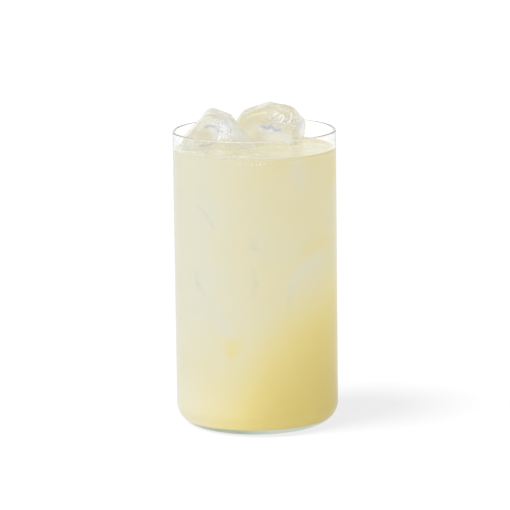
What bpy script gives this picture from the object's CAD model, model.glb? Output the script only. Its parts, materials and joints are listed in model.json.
import json
import math
import random

import bmesh
import bpy
from bpy.props import FloatProperty, FloatVectorProperty, PointerProperty
from mathutils import Euler, Matrix, Vector, noise
from mathutils.bvhtree import BVHTree

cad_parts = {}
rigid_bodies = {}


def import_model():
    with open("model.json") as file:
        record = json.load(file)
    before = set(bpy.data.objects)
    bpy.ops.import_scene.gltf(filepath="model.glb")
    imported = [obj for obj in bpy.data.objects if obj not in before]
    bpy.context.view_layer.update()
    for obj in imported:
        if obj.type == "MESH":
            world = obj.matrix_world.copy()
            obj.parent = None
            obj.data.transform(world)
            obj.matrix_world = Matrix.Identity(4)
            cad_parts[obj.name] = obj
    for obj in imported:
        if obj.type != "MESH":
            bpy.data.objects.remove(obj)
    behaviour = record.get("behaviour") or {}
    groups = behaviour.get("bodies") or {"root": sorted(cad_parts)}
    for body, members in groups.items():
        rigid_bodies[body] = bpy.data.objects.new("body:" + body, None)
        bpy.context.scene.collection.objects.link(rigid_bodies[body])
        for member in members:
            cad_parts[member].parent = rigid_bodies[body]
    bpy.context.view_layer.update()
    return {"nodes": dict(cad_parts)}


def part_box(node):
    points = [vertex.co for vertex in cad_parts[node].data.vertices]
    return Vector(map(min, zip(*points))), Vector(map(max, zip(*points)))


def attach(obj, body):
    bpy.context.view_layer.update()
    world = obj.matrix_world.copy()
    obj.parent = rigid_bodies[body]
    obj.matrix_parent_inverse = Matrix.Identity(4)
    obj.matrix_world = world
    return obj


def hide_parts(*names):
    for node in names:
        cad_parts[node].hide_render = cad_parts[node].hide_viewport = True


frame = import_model()

bl_info = {
    "name": "Glass of lemonade",
    "version": (1, 0, 0),
    "blender": (4, 5, 0),
    "location": "3D View > Sidebar > Lemonade",
    "description": "A straight tumbler of cloudy lemonade with ice, on a white table",
    "category": "Object",
}

MM = 0.001

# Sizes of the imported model, in metres
GLASS_LOW, GLASS_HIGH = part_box("tumbler")
DRINK_LOW, DRINK_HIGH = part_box("lemonade")
GLASS_RADIUS = (GLASS_HIGH.x - GLASS_LOW.x) / 2
GLASS_HEIGHT = GLASS_HIGH.z
CAVITY_RADIUS = (DRINK_HIGH.x - DRINK_LOW.x) / 2
CAVITY_FLOOR = DRINK_LOW.z
WALL = GLASS_RADIUS - CAVITY_RADIUS
ARC = CAVITY_RADIUS / MM * math.pi / 180  # millimetres round the inside of the wall for each degree
STANDING_ICE = ("ice_peak", "ice_dome", "ice_low")

SIDES = 256  # of everything turned round the axis
WALL_REACH = 0.2 * MM  # how far the drink's fill goes into the glass
MENISCUS_WIDTH = 1.7 * MM
CUT_GAP = 0.12 * MM  # how far the drink closes in on the ice


def display(red, green, blue):
    """Linear colour of the given display values, 0 to 255."""
    linear = []
    for value in (red / 255, green / 255, blue / 255):
        linear.append(value / 12.92 if value <= 0.04045 else ((value + 0.055) / 1.055) ** 2.4)
    return (*linear, 1.0)


# ---------------------------------------------------------------- settings


class GlassSettings(bpy.types.PropertyGroup):
    """Sizes and colour of the tumbler."""

    foot_rounding: FloatProperty(
        name="Foot rounding",
        description="Radius of the outer foot corner",
        default=9.5 * MM,
        unit="LENGTH",
    )
    floor_rounding: FloatProperty(
        name="Floor rounding",
        description="Radius of the inner floor corner",
        default=6.3 * MM,
        unit="LENGTH",
    )
    tint: FloatVectorProperty(
        name="Tint",
        description="Colour of the glass",
        default=(0.985, 0.993, 0.985),
        subtype="COLOR",
    )


class DrinkSettings(bpy.types.PropertyGroup):
    """Shape and colours of the lemonade."""

    meniscus_rise: FloatProperty(
        name="Meniscus",
        description="How far the drink climbs at the wall",
        default=0.8 * MM,
        unit="LENGTH",
    )
    pale: FloatVectorProperty(
        name="Pale",
        description="Colour where the drink is thin with ice",
        default=display(223, 221, 199)[:3],
        subtype="COLOR",
    )
    deep: FloatVectorProperty(
        name="Deep",
        description="Colour where the juice has settled",
        default=display(212, 192, 109)[:3],
        subtype="COLOR",
    )


class LemonadeSettings(bpy.types.PropertyGroup):
    """All that a user may change, by piece."""

    glass: PointerProperty(type=GlassSettings)
    drink: PointerProperty(type=DrinkSettings)


def settings():
    return bpy.context.scene.lemonade


# ---------------------------------------------------------------- modelling helpers


def deselect_all():
    if bpy.context.object and bpy.context.object.mode != "OBJECT":
        bpy.ops.object.mode_set(mode="OBJECT")
    bpy.ops.object.select_all(action="DESELECT")


def make_active(piece):
    deselect_all()
    piece.select_set(True)
    bpy.context.view_layer.objects.active = piece


def pick_faces(piece, wanted):
    """In edit mode, select the faces for which wanted(face) is true."""
    edited = bmesh.from_edit_mesh(piece.data)
    bpy.ops.mesh.select_mode(type="FACE")
    bpy.ops.mesh.select_all(action="DESELECT")
    for face in edited.faces:
        if wanted(face):
            face.select_set(True)
    edited.select_flush_mode()
    bmesh.update_edit_mesh(piece.data)


def apply_modifier(piece, kind, **values):
    make_active(piece)
    modifier = piece.modifiers.new(kind.title(), kind)
    for name, value in values.items():
        setattr(modifier, name, value)
    bpy.ops.object.modifier_apply(modifier=modifier.name)


def finish_piece(piece, name, slot, *materials):
    """Place the piece in its mesh, name it, and tie it to the frame."""
    make_active(piece)
    bpy.ops.object.transform_apply(location=True, rotation=True, scale=True)
    piece.name = name
    piece.data.name = name
    piece.data.materials.clear()
    for material in materials:
        piece.data.materials.append(material)
    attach(piece, "root")


def let_light_pass(piece):
    """Light reaches the drink straight through clear pieces, without noise."""
    piece.visible_shadow = False
    piece.visible_diffuse = False


def turned(points, name):
    """A closed shape turned round the Z axis from (radius, height) points on its half outline."""
    deselect_all()
    bpy.ops.mesh.primitive_circle_add(vertices=3, radius=points[0][0] + MM)
    piece = bpy.context.object
    bpy.ops.object.mode_set(mode="EDIT")
    bpy.ops.mesh.delete(type="VERT")
    edited = bmesh.from_edit_mesh(piece.data)
    row = [edited.verts.new((radius, 0, height)) for radius, height in points]
    for start, end in zip(row, row[1:]):
        edited.edges.new((start, end))
    for vertex in row:
        vertex.select_set(True)
    edited.select_flush(True)
    bmesh.update_edit_mesh(piece.data)
    bpy.ops.mesh.spin(steps=SIDES, angle=2 * math.pi, center=(0, 0, 0), axis=(0, 0, 1))
    bpy.ops.mesh.select_all(action="SELECT")
    bpy.ops.mesh.remove_doubles(threshold=0.02 * MM)
    bpy.ops.mesh.normals_make_consistent(inside=False)
    bpy.ops.object.mode_set(mode="OBJECT")
    piece.name = name
    return piece


def arc(across, up, radius, start, end, steps):
    """Points round a middle, between two angles in degrees."""
    points = []
    for count in range(steps + 1):
        angle = math.radians(start + (end - start) * count / steps)
        points.append((across + radius * math.cos(angle), up + radius * math.sin(angle)))
    return points


def straight(radius, low, high, rows):
    """Points up or down a straight wall, with a close row at each end that keeps its shading flat."""
    near = 0.04 * MM if high > low else -0.04 * MM
    points = [(radius, low + near)]
    points += [(radius, low + (high - low) * row / rows) for row in range(1, rows)]
    points.append((radius, high - near))
    return points


# ---------------------------------------------------------------- materials


def wire(tree, socket, value):
    """Feed a socket with another node's output, or set it to a plain value."""
    if isinstance(value, bpy.types.NodeSocket):
        tree.links.new(value, socket)
    else:
        socket.default_value = value


def sums(tree, operation, *values):
    """A sum, or another operation, on nodes' outputs and plain values."""
    node = tree.nodes.new("ShaderNodeMath")
    node.operation = operation
    for socket, value in zip(node.inputs, values):
        wire(tree, socket, value)
    return node.outputs[0]


def graded(tree, value, low, high, to_low=0.0, to_high=1.0):
    """A smooth step of value from low to high."""
    node = tree.nodes.new("ShaderNodeMapRange")
    node.interpolation_type = "SMOOTHSTEP"
    names = ("Value", "From Min", "From Max", "To Min", "To Max")
    for name, setting in zip(names, (value, low, high, to_low, to_high)):
        wire(tree, node.inputs[name], setting)
    return node.outputs[0]


def curve(tree, value, stops):
    """Grey or coloured stops along value, from 0 to 1."""
    node = tree.nodes.new("ShaderNodeValToRGB")
    ramp = node.color_ramp
    while len(ramp.elements) < len(stops):
        ramp.elements.new(0.5)
    for element, (place, colour) in zip(ramp.elements, stops):
        element.position = place
        element.color = colour if isinstance(colour, tuple) else (colour, colour, colour, 1)
    wire(tree, node.inputs[0], value)
    return node.outputs[0]


def blended(tree, share, first, second, kind="MIX"):
    node = tree.nodes.new("ShaderNodeMix")
    node.data_type = "RGBA"
    node.blend_type = kind
    colour_sockets = [socket for socket in node.inputs if socket.type == "RGBA"]
    wire(tree, node.inputs[0], share)
    wire(tree, colour_sockets[0], first)
    wire(tree, colour_sockets[1], second)
    return [socket for socket in node.outputs if socket.type == "RGBA"][0]


def grain(tree, place, size, detail=2.0, stretch=(1, 1, 1), distortion=0.0):
    """Noise from 0 to 1 with bumps of the given size in metres."""
    mapping = tree.nodes.new("ShaderNodeMapping")
    mapping.inputs["Scale"].default_value = stretch
    tree.links.new(place, mapping.inputs[0])
    node = tree.nodes.new("ShaderNodeTexNoise")
    node.inputs["Scale"].default_value = 1 / size
    node.inputs["Detail"].default_value = detail
    node.inputs["Distortion"].default_value = distortion
    tree.links.new(mapping.outputs[0], node.inputs["Vector"])
    return node.outputs[0]


def split_place(tree, place):
    """The place's X, Y and Z outputs, by name."""
    split = tree.nodes.new("ShaderNodeSeparateXYZ")
    tree.links.new(place, split.inputs[0])
    return split.outputs


def off_middle(tree, value, share=1.0):
    """A noise's swing either side of its middle, times a share."""
    swing = sums(tree, "SUBTRACT", value, 0.5)
    return swing if share == 1.0 else sums(tree, "MULTIPLY", swing, share)


def attribute(tree, name):
    node = tree.nodes.new("ShaderNodeAttribute")
    node.attribute_name = name
    return node.outputs["Fac"]


def bumped(tree, shader, height, distance, strength):
    node = tree.nodes.new("ShaderNodeBump")
    node.inputs["Distance"].default_value = distance
    node.inputs["Strength"].default_value = strength
    wire(tree, node.inputs["Height"], height)
    tree.links.new(node.outputs[0], shader.inputs["Normal"])


def new_material(name, **values):
    material = bpy.data.materials.new(name)
    material.use_nodes = True
    shader = material.node_tree.nodes["Principled BSDF"]
    for socket, value in values.items():
        shader.inputs[socket.replace("_", " ")].default_value = value
    place = material.node_tree.nodes.new("ShaderNodeTexCoord").outputs["Object"]
    return material, material.node_tree, shader, place


def glass_material():
    tint = (*settings().glass.tint, 1)
    material, tree, shader, place = new_material("clear_glass", Base_Color=tint, Roughness=0.0, IOR=1.46)
    height = split_place(tree, place)["Z"]
    rim = graded(tree, height, GLASS_HEIGHT - 0.6 * MM, GLASS_HEIGHT - 0.2 * MM, 1.0, 0.7)
    wire(tree, shader.inputs["Transmission Weight"], rim)
    return material


def lemonade_colour(tree, place):
    """Pale where ice thins the drink, deepening to the right and towards the settled juice below."""
    values = settings().drink
    axes = split_place(tree, place)
    across, height = axes["X"], axes["Z"]
    sway = off_middle(tree, grain(tree, place, 30 * MM, 2, (1, 1, 0.6)), 14 * MM)
    # From the left to the right of the glass
    upper = sums(tree, "ADD", sums(tree, "ADD", across, sway), 36 * MM)
    upper_share = curve(
        tree, sums(tree, "DIVIDE", upper, 72 * MM),
        ((0.0, 0.0), (0.2, 0.03), (0.4, 0.15), (0.6, 0.23), (0.8, 0.27), (1.0, 0.31)),
    )
    # Down the slope on which the juice has settled
    right, down = sums(tree, "MULTIPLY", across, 0.748), sums(tree, "MULTIPLY", height, 0.664)
    slope = sums(tree, "ADD", sums(tree, "SUBTRACT", right, down), sway)
    depth = sums(tree, "DIVIDE", sums(tree, "ADD", slope, 58.5 * MM), 80 * MM)
    lower_share = curve(
        tree, depth,
        ((0.0, 0.03), (0.19, 0.12), (0.31, 0.22), (0.41, 0.34), (0.49, 0.47), (0.56, 0.62), (0.64, 0.74),
         (0.72, 0.83), (0.82, 0.92), (0.95, 1.0)),
    )
    foot = graded(tree, height, 8 * MM, 34 * MM, 0.13, 0)
    foot = sums(tree, "MULTIPLY", foot, graded(tree, across, -30 * MM, 12 * MM, 1, 0))
    share = sums(tree, "MAXIMUM", upper_share, sums(tree, "SUBTRACT", lower_share, foot))
    share = sums(tree, "SUBTRACT", share, sums(tree, "MULTIPLY", attribute(tree, "near_ice"), 0.08))
    share = sums(tree, "ADD", share, attribute(tree, "juice"))
    streaks = grain(tree, place, 5 * MM, 3, (1, 1, 0.35), 0.6)
    share = sums(tree, "ADD", share, off_middle(tree, streaks, 0.08))
    colour = curve(tree, share, (
        (0.0, (*values.pale, 1)),
        (0.2, display(228, 220, 183)),
        (0.45, display(231, 217, 154)),
        (0.65, display(229, 211, 134)),
        (0.85, display(221, 201, 118)),
        (1.0, (*values.deep, 1)),
    ))
    lit = blended(tree, 1.0, colour, (1.08, 1.07, 1.06, 1), "MULTIPLY")
    colour = blended(tree, sums(tree, "MULTIPLY", foot, 5), colour, lit)
    return blended(tree, attribute(tree, "ice_edge"), colour, display(196, 200, 190))


def drink_body_material():
    """The drink's sides, with the greenish light of the thick glass on its flat underside."""
    material, tree, shader, place = new_material(
        "lemonade_body", Roughness=0.55, IOR=1.33, Specular_IOR_Level=0.1
    )
    axes = split_place(tree, place)
    under = graded(tree, axes["Z"], CAVITY_FLOOR + 0.35 * MM, CAVITY_FLOOR)
    side = graded(tree, axes["X"], -20 * MM, 12 * MM)
    side = sums(tree, "ADD", side, off_middle(tree, grain(tree, place, 12 * MM)))
    glassy = curve(tree, side, (
        (0.0, display(176, 188, 158)),
        (0.5, display(194, 206, 184)),
        (1.0, display(214, 226, 206)),
    ))
    colour = blended(tree, under, lemonade_colour(tree, place), glassy)
    wire(tree, shader.inputs["Base Color"], colour)
    return material


def drink_top_material():
    """The drink's surface: paler, with froth, juice in its hollows and shreds of rind."""
    material, tree, shader, place = new_material("lemonade_top", Roughness=0.16, IOR=1.33)
    colour = lemonade_colour(tree, place)
    colour = blended(tree, 0.4, colour, display(219, 214, 192))
    hollow = graded(tree, attribute(tree, "hollow"), 0.55, 1.0, 0, 0.7)
    wet = blended(tree, hollow, colour, display(216, 203, 142))
    froth = graded(tree, grain(tree, place, 4.5 * MM, 4, distortion=1.2), 0.56, 0.68, 0, 0.7)
    top = blended(tree, froth, wet, display(236, 232, 216))
    rind = sums(tree, "MULTIPLY", attribute(tree, "rind"), 0.6)
    wire(tree, shader.inputs["Base Color"], blended(tree, rind, top, display(214, 198, 122)))
    bumped(tree, shader, grain(tree, place, 3 * MM, 1, distortion=0.5), 0.03 * MM, 0.5)
    return material


def ice_material(name, tint, milky, clear):
    """Melting ice: clear with milky clouds and crackle, wet all over, with shallow melt dents."""
    material, tree, shader, place = new_material(
        name, Roughness=0.02, IOR=1.22, Coat_Weight=0.5, Coat_Roughness=0.02, Coat_IOR=1.33
    )
    cloud = grain(tree, place, 10 * MM, 3, distortion=0.8)
    colour = curve(tree, cloud, ((0.38, tint), (0.62, milky)))
    colour = blended(tree, attribute(tree, "cream"), colour, display(219, 212, 183))
    colour = blended(tree, attribute(tree, "frost"), colour, display(238, 237, 236))
    crackle = attribute(tree, "crackle")
    bright = off_middle(tree, grain(tree, place, 2.2 * MM, 2, distortion=1.5))
    bright = graded(tree, sums(tree, "ABSOLUTE", bright), 0.0, 0.05, 1, 0)
    dark = sums(tree, "SUBTRACT", grain(tree, place, 3.1 * MM, 2, distortion=1.2), 0.52)
    dark = graded(tree, sums(tree, "ABSOLUTE", dark), 0.0, 0.03, 0.8, 0)
    dark = sums(tree, "MAXIMUM", sums(tree, "MULTIPLY", crackle, dark), attribute(tree, "line"))
    bright = sums(tree, "MAXIMUM", sums(tree, "MULTIPLY", crackle, bright), attribute(tree, "shine"))
    colour = blended(tree, bright, colour, display(252, 252, 254))
    wire(tree, shader.inputs["Base Color"], blended(tree, dark, colour, display(170, 175, 188)))
    marked = sums(tree, "MAXIMUM", sums(tree, "MAXIMUM", bright, dark), attribute(tree, "cream"))
    marked = sums(tree, "MULTIPLY", sums(tree, "MAXIMUM", marked, attribute(tree, "frost")), 0.75)
    plain = sums(tree, "SUBTRACT", 1.0, marked)
    wire(tree, shader.inputs["Transmission Weight"], sums(tree, "MULTIPLY", plain, clear))
    dents = grain(tree, place, 5 * MM, 1.5, distortion=0.6)
    roughening = sums(tree, "ADD", sums(tree, "MULTIPLY", crackle, 0.3), 0.1)
    fine = sums(tree, "MULTIPLY", grain(tree, place, 1.6 * MM), roughening)
    bumped(tree, shader, sums(tree, "ADD", dents, fine), 0.8 * MM, 0.6)
    return material


def frost_material(name, tint):
    material, tree, shader, place = new_material(name, Roughness=0.2, IOR=1.31, Transmission_Weight=0.5)
    speckle = grain(tree, place, 1.2 * MM, 3)
    wire(tree, shader.inputs["Base Color"], blended(tree, speckle, tint, display(244, 244, 246)))
    return material


def cube_material():
    material, tree, shader, place = new_material(
        "sunk_ice_skin", Roughness=0.1, IOR=1.31, Transmission_Weight=0.7
    )
    cloud = grain(tree, place, 8 * MM, 3)
    colour = blended(tree, cloud, display(226, 228, 212), display(242, 243, 238))
    wire(tree, shader.inputs["Base Color"], colour)
    return material


def bubble_material():
    return new_material("bubble_skin", Base_Color=display(236, 232, 205), Roughness=0.05, IOR=1.33)[0]


# ---------------------------------------------------------------- pieces


def lumps(name, size):
    """A cloudy texture that modifiers displace by, with lumps of the given size."""
    texture = bpy.data.textures.new(name, "CLOUDS")
    texture.noise_scale = size
    texture.noise_depth = 1
    return texture


def weigh(piece, name, weight_of):
    """A vertex group whose weights come from each vertex's place."""
    group = piece.vertex_groups.new(name=name)
    for vertex in piece.data.vertices:
        weight = weight_of(vertex.co)
        if weight > 0:
            group.add([vertex.index], min(weight, 1.0), "REPLACE")
    return group.name


def mark(piece, name, value_of):
    """A number on each vertex, for the materials to read."""
    values = [value_of(vertex.co) for vertex in piece.data.vertices]
    layer = piece.data.attributes.new(name, "FLOAT", "POINT")
    layer.data.foreach_set("value", values)


def surfaces(pieces):
    """Search trees of the pieces, to measure distances to them."""
    trees = []
    for piece in pieces:
        corners = [vertex.co.copy() for vertex in piece.data.vertices]
        faces = [tuple(face.vertices) for face in piece.data.polygons]
        trees.append(BVHTree.FromPolygons(corners, faces))
    return trees


def distance_to(trees, place, reach):
    """How far the nearest of the pieces is, up to a reach."""
    nearest = reach
    for tree in trees:
        found = tree.find_nearest(place, reach)
        if found[0] is not None:
            nearest = min(nearest, found[3])
    return nearest


def step(value, low, high):
    """0 below low and 1 above high, with a smooth rise between them."""
    share = min(max((value - low) / (high - low), 0.0), 1.0)
    return share * share * (3 - 2 * share)


def trail(place, start, finish, width):
    """1 on the line between two flat places, falling to 0 at its width."""
    run, rise = finish[0] - start[0], finish[1] - start[1]
    across, up = place[0] - start[0], place[1] - start[1]
    share = min(max((across * run + up * rise) / (run * run + rise * rise), 0.0), 1.0)
    return 1 - step(math.hypot(across - share * run, up - share * rise), 0, width)


def trails(place, lines):
    """The strongest of several lines, each a width and its places."""
    value = 0.0
    for width, *places in lines:
        for start, finish in zip(places, places[1:]):
            value = max(value, trail(place, start, finish, width))
    return value


def own_copy(piece, name):
    """A copy with its own mesh, free of the frame's marks."""
    copy = piece.copy()
    copy.data = piece.data.copy()
    copy.parent = None
    copy.name = name
    for key in list(copy.keys()):
        del copy[key]
    bpy.context.collection.objects.link(copy)
    return copy


def on_wall(angle, height, radius):
    """A place at the given angle from the front, in degrees, turning to the right."""
    turn = math.radians(angle)
    return Vector((radius * math.sin(turn), -radius * math.cos(turn), height))


class LEMONADE_OT_tumbler(bpy.types.Operator):
    """Turn the tumbler from its half outline."""

    bl_idname = "lemonade.tumbler"
    bl_label = "Tumbler"

    def execute(self, context):
        foot = settings().glass.foot_rounding
        inner = settings().glass.floor_rounding
        rim = WALL / 2 * 0.98  # a little under half, so that its two arcs stay apart
        rim_height = GLASS_HEIGHT - rim
        outline = [(0, 0)]
        outline += arc(GLASS_RADIUS - foot, foot, foot, -90, 0, 20)
        outline += straight(GLASS_RADIUS, foot, rim_height, 12)
        outline += arc(GLASS_RADIUS - rim, rim_height, rim, 0, 90, 6)
        outline += arc(CAVITY_RADIUS + rim, rim_height, rim, 90, 180, 6)
        outline += straight(CAVITY_RADIUS, rim_height, CAVITY_FLOOR + inner, 12)
        outline += reversed(arc(CAVITY_RADIUS - inner, CAVITY_FLOOR + inner, inner, -90, 0, 18))
        outline.append((0, CAVITY_FLOOR))
        glass = turned(outline, "glass")
        make_active(glass)
        bpy.ops.object.shade_smooth()
        finish_piece(glass, "glass", "glass", glass_material())
        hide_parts("tumbler")
        let_light_pass(glass)
        return {"FINISHED"}


class LEMONADE_OT_standing_ice(bpy.types.Operator):
    """Melt the pieces of ice that stand out of the drink."""

    bl_idname = "lemonade.standing_ice"
    bl_label = "Standing ice"

    def execute(self, context):
        looks = {
            "ice_peak": ice_material("clear_ice", display(228, 225, 206), display(240, 240, 236), 0.6),
            "ice_dome": ice_material("creamy_ice", display(220, 214, 184), display(232, 228, 208), 0.45),
            "ice_low": ice_material("slushy_ice", display(228, 221, 184), display(236, 232, 214), 0.45),
        }
        for node in STANDING_ICE:
            deselect_all()
            ice = own_copy(frame["nodes"][node], "melting_" + node)
            make_active(ice)
            bpy.ops.object.mode_set(mode="EDIT")
            bpy.ops.mesh.select_all(action="SELECT")
            bpy.ops.mesh.remove_doubles(threshold=0.002 * MM)
            bpy.ops.object.mode_set(mode="OBJECT")
            bpy.ops.mesh.customdata_custom_splitnormals_clear()
            apply_modifier(ice, "REMESH", mode="VOXEL", voxel_size=0.5 * MM)
            apply_modifier(ice, "DISPLACE", texture=lumps("ice_lumps", 6 * MM), strength=1.1 * MM)
            apply_modifier(ice, "SMOOTH", factor=0.5, iterations=3)
            bpy.ops.object.shade_smooth()
            mark_ice(ice, node)
            finish_piece(ice, "melting_" + node, "ice", looks[node])
            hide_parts(node)
            let_light_pass(ice)
        return {"FINISHED"}


def bow(width, across, up, radius, start, end):
    """A mark bent round a middle: its width, then its places."""
    return (width, *arc(across, up, radius, start, end, 6))


# Marks on the faces of the ice that look to the front: a width, then places across from the
# piece's left and up from its foot, in millimetres
ICE_MARKS = {
    "ice_peak": {
        "line": (
            bow(0.9, 13, 26, 4.3, 125, 25),  # round the clear lobe
            bow(0.8, 9.5, 31, 10, -98, -56),  # under it
            (0.8, (22, 33), (31, 23)),  # down the right slope
            (1.3, (31, 23.5), (35, 20)),
        ),
        "crackle": (
            (5.5, (17.5, 31), (18.5, 27)),
            (4.0, (22, 27.5), (21.5, 25)),
            (2.0, (8.5, 22), (15, 23)),
        ),
        "frost": ((4.0, (17, 26), (19, 29)), (4.0, (23, 31), (29.5, 22.5))),
        "shine": (bow(0.8, 13.5, 26.5, 4, 16, -40), (0.7, (19, 30.5), (20, 29))),
        "cream": ((5.0, (8.5, 26), (12, 26)), (4.0, (7.5, 22.5), (26.5, 22))),
    },
    "ice_dome": {
        "line": (
            (1.3, (17.5, 22), (20, 21), (21.5, 22), (23.5, 20), (26, 20.5)),  # above the dish
            bow(0.5, 18, 9, 20, 148, 115),  # along the left shoulder
        ),
        "crackle": (
            (4.5, (23, 25.5), (34, 22.5)),
            (3.0, (36, 24), (36, 16)),
            (3.0, (17.5, 22), (26, 20.5)),
        ),
        "frost": (
            (3.5, (17, 21), (26, 19.5)),
            (4.0, (19, 17), (29.5, 16.5)),
            (3.0, (35, 24), (35.5, 16.5)),
        ),
        "cream": ((9.0, (7, 24), (15, 26.5)),),
        "shine": (
            (0.8, (26, 24), (27.5, 26)),
            bow(0.8, 26.5, 26, 1, 0, 150),
            bow(0.8, 28, 26.5, 3, -50, 10),
            (0.6, (23, 27.5), (24.5, 28)),
        ),
    },
}


def mark_ice(ice, node):
    """Put the marks of the node on its melted copy, fading out towards its back."""
    low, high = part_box(node)
    marks = ICE_MARKS.get(node, {})

    def drawn(name, strength):
        lines = marks.get(name, ())

        def value(place):
            front = step((high.y - place.y) / (high.y - low.y), 0.35, 0.65)
            flat = ((place.x - low.x) / MM, (place.z - low.z) / MM)
            return front * strength * trails(flat, lines)

        return value

    for name, strength in (("line", 0.65), ("crackle", 1), ("frost", 0.6), ("cream", 0.9), ("shine", 1)):
        mark(ice, name, drawn(name, strength))


def inside(node, share):
    """A place in a node's box, by its share of the width, depth and height."""
    low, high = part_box(node)
    return Vector([low[axis] + (high[axis] - low[axis]) * share[axis] for axis in range(3)])


def frost_sheet(name, middle, width, height, lean, seed, gaps):
    """A crumpled lacy sheet: the frosted face of a crack in the ice."""
    deselect_all()
    bpy.ops.mesh.primitive_grid_add(x_subdivisions=70, y_subdivisions=56, size=1)
    sheet = bpy.context.object
    turn = Euler([math.radians(value) for value in lean]).to_matrix().to_4x4()
    size = Matrix.Diagonal((width * MM, height * MM, 1, 1))
    sheet.data.transform(turn @ size)
    bpy.ops.object.mode_set(mode="EDIT")
    shift = Vector((seed * 3.7, seed * 1.3, 0))
    edge = Matrix.Diagonal((2 / (width * MM), 2 / (height * MM), 1, 1)) @ turn.inverted()

    def gone(face):
        centre = face.calc_center_median()
        out = (edge @ centre).xy.length
        coarse = abs(noise.noise(centre / (1.5 * MM) + shift))
        fine = abs(noise.noise(centre / (0.7 * MM) + shift))
        return coarse + 0.5 * fine + 0.5 * out * out > gaps

    pick_faces(sheet, gone)
    bpy.ops.mesh.delete(type="FACE")
    bpy.ops.object.mode_set(mode="OBJECT")
    sheet.data.transform(Matrix.Translation(middle))
    apply_modifier(sheet, "DISPLACE", texture=lumps("crumple", 3 * MM), strength=2.2 * MM)
    apply_modifier(sheet, "SOLIDIFY", thickness=0.12 * MM, offset=0)
    bpy.ops.object.shade_smooth()
    sheet.name = name
    return sheet


class LEMONADE_OT_frost(bpy.types.Operator):
    """Set the frosted cracks inside the standing ice."""

    bl_idname = "lemonade.frost"
    bl_label = "Frost in the ice"

    def execute(self, context):
        white = frost_material("white_frost", display(226, 226, 240))
        blue = frost_material("blue_frost", display(186, 190, 205))
        cracks = (
            ("frost_1", "ice_peak", (0.50, 0.50, 0.80), 11, 8, (80, 0, 10), 1, 0.34, white),
            ("frost_2", "ice_peak", (0.62, 0.45, 0.68), 9, 8, (76, -30, 20), 3, 0.34, white),
            ("frost_3", "ice_dome", (0.56, 0.40, 0.67), 12, 5, (82, 8, 6), 4, 0.46, blue),
        )
        for name, node, share, width, height, lean, seed, gaps, material in cracks:
            sheet = frost_sheet(name, inside(node, share), width, height, lean, seed, gaps)
            finish_piece(sheet, name, "ice", material)
            let_light_pass(sheet)
        return {"FINISHED"}


class LEMONADE_OT_sunk_ice(bpy.types.Operator):
    """Pack melted cubes below the surface, some of them against the wall."""

    bl_idname = "lemonade.sunk_ice"
    bl_label = "Sunk ice"

    def execute(self, context):
        deselect_all()
        bpy.ops.mesh.primitive_cube_add(size=1)
        cube = context.object
        bpy.ops.object.mode_set(mode="EDIT")
        bpy.ops.mesh.select_all(action="SELECT")
        bpy.ops.mesh.subdivide(number_cuts=5)
        bpy.ops.object.mode_set(mode="OBJECT")
        apply_modifier(cube, "SUBSURF", levels=1, render_levels=1)
        apply_modifier(cube, "CAST", cast_type="SPHERE", factor=0.22)
        bpy.ops.object.shade_smooth()
        material = cube_material()
        # Degrees from the front, millimetres from the axis and up, size, and tilt in degrees
        places = (
            (-38, 24.5, 101, (24, 20, 19), (12, 20, -30)),
            (19, 23.5, 92, (23, 21, 22), (-8, 6, 24)),
            (78, 24.0, 101, (19, 21, 21), (14, -25, 70)),
            (138, 24.5, 96, (22, 20, 18), (20, 8, 140)),
            (-112, 24.0, 97, (21, 22, 19), (-16, 12, -105)),
            (-46, 24.5, 72, (20, 22, 20), (24, -14, -10)),
            (44, 24.0, 71, (24, 19, 19), (6, -38, 46)),
            (168, 23.0, 71, (22, 21, 20), (-12, 24, 172)),
            (35, 28.5, 116, (13, 12, 15), (8, 10, 35)),
        )
        limit = CAVITY_RADIUS - 0.3 * MM
        for number, (angle, radius, height, size, tilt) in enumerate(places):
            ice = own_copy(cube, f"sunk_ice_{number + 1}")
            turn = Euler([math.radians(value) for value in tilt]).to_matrix().to_4x4()
            middle = Matrix.Translation(on_wall(angle, height * MM, radius * MM))
            ice.data.transform(middle @ turn @ Matrix.Diagonal((*(value * MM for value in size), 1)))
            apply_modifier(ice, "DISPLACE", texture=lumps("cube_lumps", 7 * MM), strength=2.0 * MM)
            for vertex in ice.data.vertices:
                out = math.hypot(vertex.co.x, vertex.co.y)
                if out > limit:
                    vertex.co.x *= limit / out
                    vertex.co.y *= limit / out
            finish_piece(ice, ice.name, "ice", material)
            let_light_pass(ice)
        bpy.data.objects.remove(cube)
        return {"FINISHED"}


def along(place, start, finish, width):
    """1 on the line over the wall between two (angle, height) places, falling to 0 at its width."""
    return trail(rolled_out(place), (start[0] * ARC, start[1]), (finish[0] * ARC, finish[1]), width)


def rolled_out(place):
    """A place on the wall, in millimetres round it from the front and up."""
    return math.degrees(math.atan2(place.x, -place.y)) * ARC, place.z / MM


# Shreds of rind and juice on the surface: a width, then places across and along it, in millimetres
RIND = (
    bow(0.9, -11, -9, 2, 130, -90),
    bow(0.8, -1.5, -11.5, 4.5, 140, 35),
    (2.6, (0.5, -23.5), (6.5, -23.5)),
)


def by_wall(place):
    return math.hypot(place.x, place.y) > CAVITY_RADIUS * 0.98


def shreds(place):
    return 0 if by_wall(place) else trails((place.x / MM, place.y / MM), RIND)


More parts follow.
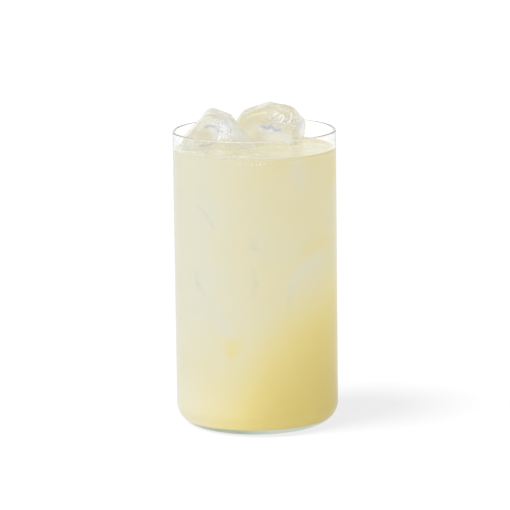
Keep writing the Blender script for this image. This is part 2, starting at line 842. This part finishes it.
def settled_juice(place):
    """How much yellower the drink is where juice is caught between pieces of ice, or paler on ice."""
    if not by_wall(place):
        return 0.0
    angle = math.degrees(math.atan2(place.x, -place.y))
    height = place.z / MM
    inside_wedge = 8.5 - abs(angle + 19) * 0.62 - max(0, 46 - height) * 0.7
    wedge = step(inside_wedge, 0, 2.5) * step(48 - height, 0, 2.5)
    heart = 1 - step(math.hypot((angle + 18) / 9, (height - 41) / 6), 0, 1)
    wall_patch = step(1 - math.hypot((angle - 80) / 20, (height - 119) / 11), 0, 1)
    yellow = 0.11 * wedge + 0.12 * heart + 0.2 * wall_patch + 0.08 * along(place, (36, 86), (58, 89), 5)
    yellow += 0.06 * along(place, (4, 121), (16, 125), 6)
    crescent = along(place, (25, 70), (36, 77), 4.0) + along(place, (35, 76), (54, 81), 6.0)
    patch = along(place, (32, 124), (34, 117), 6) + 0.8 * along(place, (-30, 57), (-22, 50), 6)
    return yellow - 0.12 * min(crescent, 1) - 0.10 * patch


def ice_edges(place):
    """Thin greyish lines where the edges of sunk ice lie against the wall."""
    if not by_wall(place):
        return 0.0
    swirl = along(place, (-44, 106), (-38, 103), 1.6) + along(place, (-38, 103), (-31, 97), 2.0)
    hook = along(place, (-47, 75), (-46, 70), 2.2) + along(place, (-46, 70), (-40, 66), 2.2)
    chip = along(place, (-4, 93), (-2, 88), 1.5) + along(place, (-4, 89), (3, 87), 1.5)
    chip += along(place, (-1, 92), (1, 89), 1.5)
    far_edge = along(place, (-2, 79), (0, 72), 2.0) + along(place, (0, 72), (-3, 66), 2.0)
    near_edge = along(place, (25, 69), (23, 63), 2.0) + along(place, (23, 63), (25, 58), 2.0)
    across, up = rolled_out(place)
    rings = 0.0
    for angle, height in ((-49, 57), (60, 37)):
        off = math.hypot(across - angle * ARC, up - height) - 1.0
        rings += 1 - step(abs(off), 0, 0.9)
    return min(0.20 * (swirl + hook) + 0.15 * (chip + far_edge + rings) + 0.08 * near_edge, 0.3)


class LEMONADE_OT_drink(bpy.types.Operator):
    """Fill the tumbler with lemonade up to its surface, and cut the fill round the ice."""

    bl_idname = "lemonade.drink"
    bl_label = "Lemonade"

    def execute(self, context):
        values = settings().drink
        radius = CAVITY_RADIUS + WALL_REACH
        low = CAVITY_FLOOR - WALL_REACH
        level = DRINK_HIGH.z - values.meniscus_rise
        rounding = settings().glass.floor_rounding + WALL_REACH
        outline = [(0, low)]
        outline += arc(radius - rounding, low + rounding, rounding, -90, 0, 12)
        side_rows, meniscus_rings, top_rings = 110, 8, 44
        side_low = low + rounding
        for row in range(1, side_rows + 1):
            outline.append((radius, side_low + (DRINK_HIGH.z - side_low) * row / side_rows))
        for ring in range(meniscus_rings + 1):
            share = ring / meniscus_rings
            rise = values.meniscus_rise * (1 - share) ** 2
            outline.append((CAVITY_RADIUS - MENISCUS_WIDTH * share, level + rise))
        for ring in range(1, top_rings):
            outline.append(((CAVITY_RADIUS - MENISCUS_WIDTH) * (1 - ring / top_rings), level))
        outline.append((0, level))
        drink = turned(outline, "drink")
        standing = [bpy.data.objects["melting_" + node] for node in STANDING_ICE]
        sunk = [piece for piece in bpy.data.objects if piece.name.startswith("sunk_ice")]
        near = surfaces(standing)

        def on_top(place):
            from_wall = CAVITY_RADIUS - math.hypot(place.x, place.y)
            return step(place.z, level - 0.2 * MM, level) * step(from_wall, 0.4 * MM, 3 * MM)

        def beside_ice(place):
            return on_top(place) * math.exp(-distance_to(near, place, 6 * MM) / (1.2 * MM))

        top = weigh(drink, "top", on_top)
        by_ice = weigh(drink, "by_ice", beside_ice)
        for name, size, strength in (("swell", 13, 1.2), ("ripples", 7, 0.15)):
            apply_modifier(
                drink, "DISPLACE", texture=lumps(name, size * MM), direction="Z", vertex_group=top,
                strength=strength * MM,
            )
        apply_modifier(
            drink, "DISPLACE", direction="Z", vertex_group=by_ice, strength=0.9 * MM, mid_level=0
        )
        drink.vertex_groups.clear()
        for ice in standing + sunk:
            cutter = own_copy(ice, "cutter")
            apply_modifier(cutter, "DISPLACE", strength=-CUT_GAP, mid_level=0)
            finely_meshed = len(cutter.data.polygons) > 6000
            if finely_meshed:
                apply_modifier(cutter, "DECIMATE", ratio=0.25)
            apply_modifier(drink, "BOOLEAN", object=cutter, operation="DIFFERENCE", solver="EXACT")
            bpy.data.objects.remove(cutter)
        make_active(drink)
        bpy.ops.object.shade_smooth()
        finish_piece(drink, "lemonade_fill", "lemonade", drink_body_material(), drink_top_material())
        for face in drink.data.polygons:
            inside_wall = math.hypot(face.center.x, face.center.y) < CAVITY_RADIUS
            face.material_index = int(inside_wall and face.center.z > level - 2 * MM)
        under = surfaces(sunk)

        def near_ice(place):
            return math.exp(-distance_to(under, place, 12 * MM) / (2.6 * MM))

        def hollow(place):
            return 0.5 + (level - place.z) / (2 * MM) if place.z > level - 3 * MM else 0.5

        mark(drink, "near_ice", near_ice)
        mark(drink, "hollow", hollow)
        mark(drink, "juice", settled_juice)
        mark(drink, "ice_edge", ice_edges)
        mark(drink, "rind", shreds)
        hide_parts("lemonade")
        drink.visible_diffuse = False
        return {"FINISHED"}


class LEMONADE_OT_bubbles(bpy.types.Operator):
    """Scatter small bubbles under the surface's edge and along the wall."""

    bl_idname = "lemonade.bubbles"
    bl_label = "Bubbles"

    def execute(self, context):
        draw = random.Random(7)
        level = DRINK_HIGH.z - settings().drink.meniscus_rise
        out = CAVITY_RADIUS + 0.15 * MM
        # Degrees from the front, and millimetres below the surface and across
        placed = (
            (-10, 1.5, 0.5), (-6, 1.8, 0.4), (-2, 1.4, 0.55), (1.5, 1.9, 0.35),
            (4, 1.5, 0.6), (7, 1.6, 0.4), (11, 1.5, 0.35), (-14, 1.7, 0.3),
        )
        spots = [(on_wall(angle, level - drop * MM, out), size * MM) for angle, drop, size in placed]
        for _bubble in range(46):
            place = on_wall(draw.uniform(-180, 180), level - draw.uniform(0.6, 2.6) * MM, out)
            spots.append((place, draw.uniform(0.15, 0.35) * MM))
        for _bubble in range(40):
            place = on_wall(draw.uniform(-180, 180), draw.uniform(20, 120) * MM, out)
            spots.append((place, draw.uniform(0.12, 0.3) * MM))
        deselect_all()
        bpy.ops.mesh.primitive_ico_sphere_add(subdivisions=2, radius=1)
        bubble = context.object
        bpy.ops.object.shade_smooth()
        copies = []
        for place, size in spots:
            copy = own_copy(bubble, "bubble")
            copy.data.transform(Matrix.Translation(place) @ Matrix.Scale(size, 4))
            copies.append(copy)
        bpy.data.objects.remove(bubble)
        make_active(copies[0])
        for copy in copies:
            copy.select_set(True)
        bpy.ops.object.join()
        finish_piece(context.object, "bubbles", "lemonade", bubble_material())
        let_light_pass(context.object)
        return {"FINISHED"}


# ---------------------------------------------------------------- stage


SKY_STRENGTH = 0.815
CEILING_LOW, CEILING_HIGH, CEILING_GREY = 0.12, 0.75, 0.4  # of the sky in what shines

# Where each lamp shines from, its strength, and how wide it is in degrees
KEY_LAMP = ("key", (-0.905, -0.425, 1.85), 0.84, 28)
GLINT_LAMP = ("glint", (-0.35, -0.8, 0.9), 0.035, 2.0)

LENS = 228.7  # millimetres
EYE_ELEVATION = 11.27  # degrees above the level of the glass's middle
EYE_DISTANCE = 1.498  # metres from there
AIM_FROM_MIDDLE = Vector((-0.36 * MM, 0, 9.75 * MM))
EYE_ROLL = -0.715  # degrees


def behind_glass(tree):
    """1 for light that the eye meets straight on, in a reflection or through glass."""
    path = tree.nodes.new("ShaderNodeLightPath")
    shiny = sums(tree, "MAXIMUM", path.outputs["Is Glossy Ray"], path.outputs["Is Transmission Ray"])
    return sums(tree, "MAXIMUM", shiny, path.outputs["Is Camera Ray"])


def sky():
    """A white studio: plain light for surfaces, and a greyer ceiling in what shines."""
    world = bpy.data.worlds.new("studio")
    bpy.context.scene.world = world
    world.use_nodes = True
    world.cycles.sampling_method = "NONE"
    tree = world.node_tree
    tree.nodes.clear()
    light = tree.nodes.new("ShaderNodeBackground")
    light.inputs["Color"].default_value = (1, 1, 1, 1)
    light.inputs["Strength"].default_value = SKY_STRENGTH
    seen = tree.nodes.new("ShaderNodeBackground")
    seen.inputs["Color"].default_value = (1, 1, 1, 1)
    place = tree.nodes.new("ShaderNodeTexCoord").outputs["Generated"]
    up = split_place(tree, place)["Z"]
    ceiling = graded(tree, up, CEILING_LOW, CEILING_HIGH, 1.0, CEILING_GREY)
    path = tree.nodes.new("ShaderNodeLightPath")
    wire(tree, seen.inputs["Strength"], sums(tree, "MAXIMUM", ceiling, path.outputs["Is Camera Ray"]))
    mix = tree.nodes.new("ShaderNodeMixShader")
    wire(tree, mix.inputs[0], behind_glass(tree))
    tree.links.new(light.outputs[0], mix.inputs[1])
    tree.links.new(seen.outputs[0], mix.inputs[2])
    tree.links.new(mix.outputs[0], tree.nodes.new("ShaderNodeOutputWorld").inputs[0])


def table():
    """A white table that takes the shadow, a little greyer in what shines."""
    deselect_all()
    bpy.ops.mesh.primitive_plane_add(size=12, location=(0, 0, -0.05 * MM))
    floor = bpy.context.object
    floor.name = "table"
    material = bpy.data.materials.new("white_table")
    material.use_nodes = True
    tree = material.node_tree
    tree.nodes.clear()
    matt = tree.nodes.new("ShaderNodeBsdfDiffuse")
    matt.inputs["Color"].default_value = (1, 1, 1, 1)
    glow = tree.nodes.new("ShaderNodeEmission")
    glow.inputs["Color"].default_value = (1, 1, 1, 1)
    mix = tree.nodes.new("ShaderNodeMixShader")
    path = tree.nodes.new("ShaderNodeLightPath")
    outside_glass = sums(tree, "SUBTRACT", 1.0, path.outputs["Is Transmission Ray"])
    shine = sums(tree, "MULTIPLY", path.outputs["Is Glossy Ray"], outside_glass)
    seen = sums(tree, "MULTIPLY", behind_glass(tree), 0.1)
    wire(tree, mix.inputs[0], sums(tree, "ADD", seen, sums(tree, "MULTIPLY", shine, 0.3)))
    dimmed = sums(tree, "MULTIPLY", shine, 0.5)
    wire(tree, glow.inputs["Strength"], sums(tree, "SUBTRACT", 1.0, dimmed))
    tree.links.new(matt.outputs[0], mix.inputs[1])
    tree.links.new(glow.outputs[0], mix.inputs[2])
    tree.links.new(mix.outputs[0], tree.nodes.new("ShaderNodeOutputMaterial").inputs[0])
    floor.data.materials.append(material)


def lamp(name, toward, strength, spread):
    """A distant lamp that shines from the direction toward."""
    deselect_all()
    bpy.ops.object.light_add(type="SUN")
    sun = bpy.context.object
    sun.name = name
    sun.data.energy = strength
    sun.data.angle = math.radians(spread)
    sun.rotation_euler = Vector(toward).to_track_quat("Z", "Y").to_euler()


def camera():
    deselect_all()
    bpy.ops.object.camera_add()
    eye = bpy.context.object
    eye.name = "camera"
    eye.data.sensor_width = 36
    eye.data.lens = LENS
    elevation = math.radians(EYE_ELEVATION)
    middle = Vector((0, 0, GLASS_HEIGHT / 2))
    eye.location = middle + EYE_DISTANCE * Vector((0, -math.cos(elevation), math.sin(elevation)))
    aim = middle + AIM_FROM_MIDDLE
    look = (aim - eye.location).to_track_quat("-Z", "Y")
    roll = Matrix.Rotation(math.radians(EYE_ROLL), 3, "Z")
    eye.rotation_euler = (look.to_matrix() @ roll).to_euler()
    eye.data.clip_start = 0.05
    eye.data.clip_end = 50
    bpy.context.scene.camera = eye


class LEMONADE_OT_stage(bpy.types.Operator):
    """Set the white table, the studio light and the camera."""

    bl_idname = "lemonade.stage"
    bl_label = "Stage"

    def execute(self, context):
        table()
        sky()
        lamp(*KEY_LAMP)
        lamp(*GLINT_LAMP)
        camera()
        context.scene.view_settings.view_transform = "Standard"
        return {"FINISHED"}


class LEMONADE_PT_sidebar(bpy.types.Panel):
    """The steps of the model, in order."""

    bl_label = "Glass of lemonade"
    bl_idname = "LEMONADE_PT_sidebar"
    bl_space_type = "VIEW_3D"
    bl_region_type = "UI"
    bl_category = "Lemonade"

    def draw(self, context):
        for operator in STEPS:
            self.layout.operator(operator.bl_idname)


STEPS = (
    LEMONADE_OT_tumbler,
    LEMONADE_OT_standing_ice,
    LEMONADE_OT_frost,
    LEMONADE_OT_sunk_ice,
    LEMONADE_OT_drink,
    LEMONADE_OT_bubbles,
    LEMONADE_OT_stage,
)
CLASSES = (GlassSettings, DrinkSettings, LemonadeSettings, *STEPS, LEMONADE_PT_sidebar)


def register():
    for item in CLASSES:
        bpy.utils.register_class(item)
    bpy.types.Scene.lemonade = PointerProperty(type=LemonadeSettings)


def unregister():
    del bpy.types.Scene.lemonade
    for item in reversed(CLASSES):
        bpy.utils.unregister_class(item)


def main():
    register()
    bpy.ops.lemonade.tumbler()
    bpy.ops.lemonade.standing_ice()
    bpy.ops.lemonade.frost()
    bpy.ops.lemonade.sunk_ice()
    bpy.ops.lemonade.drink()
    bpy.ops.lemonade.bubbles()
    bpy.ops.lemonade.stage()


if __name__ == "__main__":
    main()
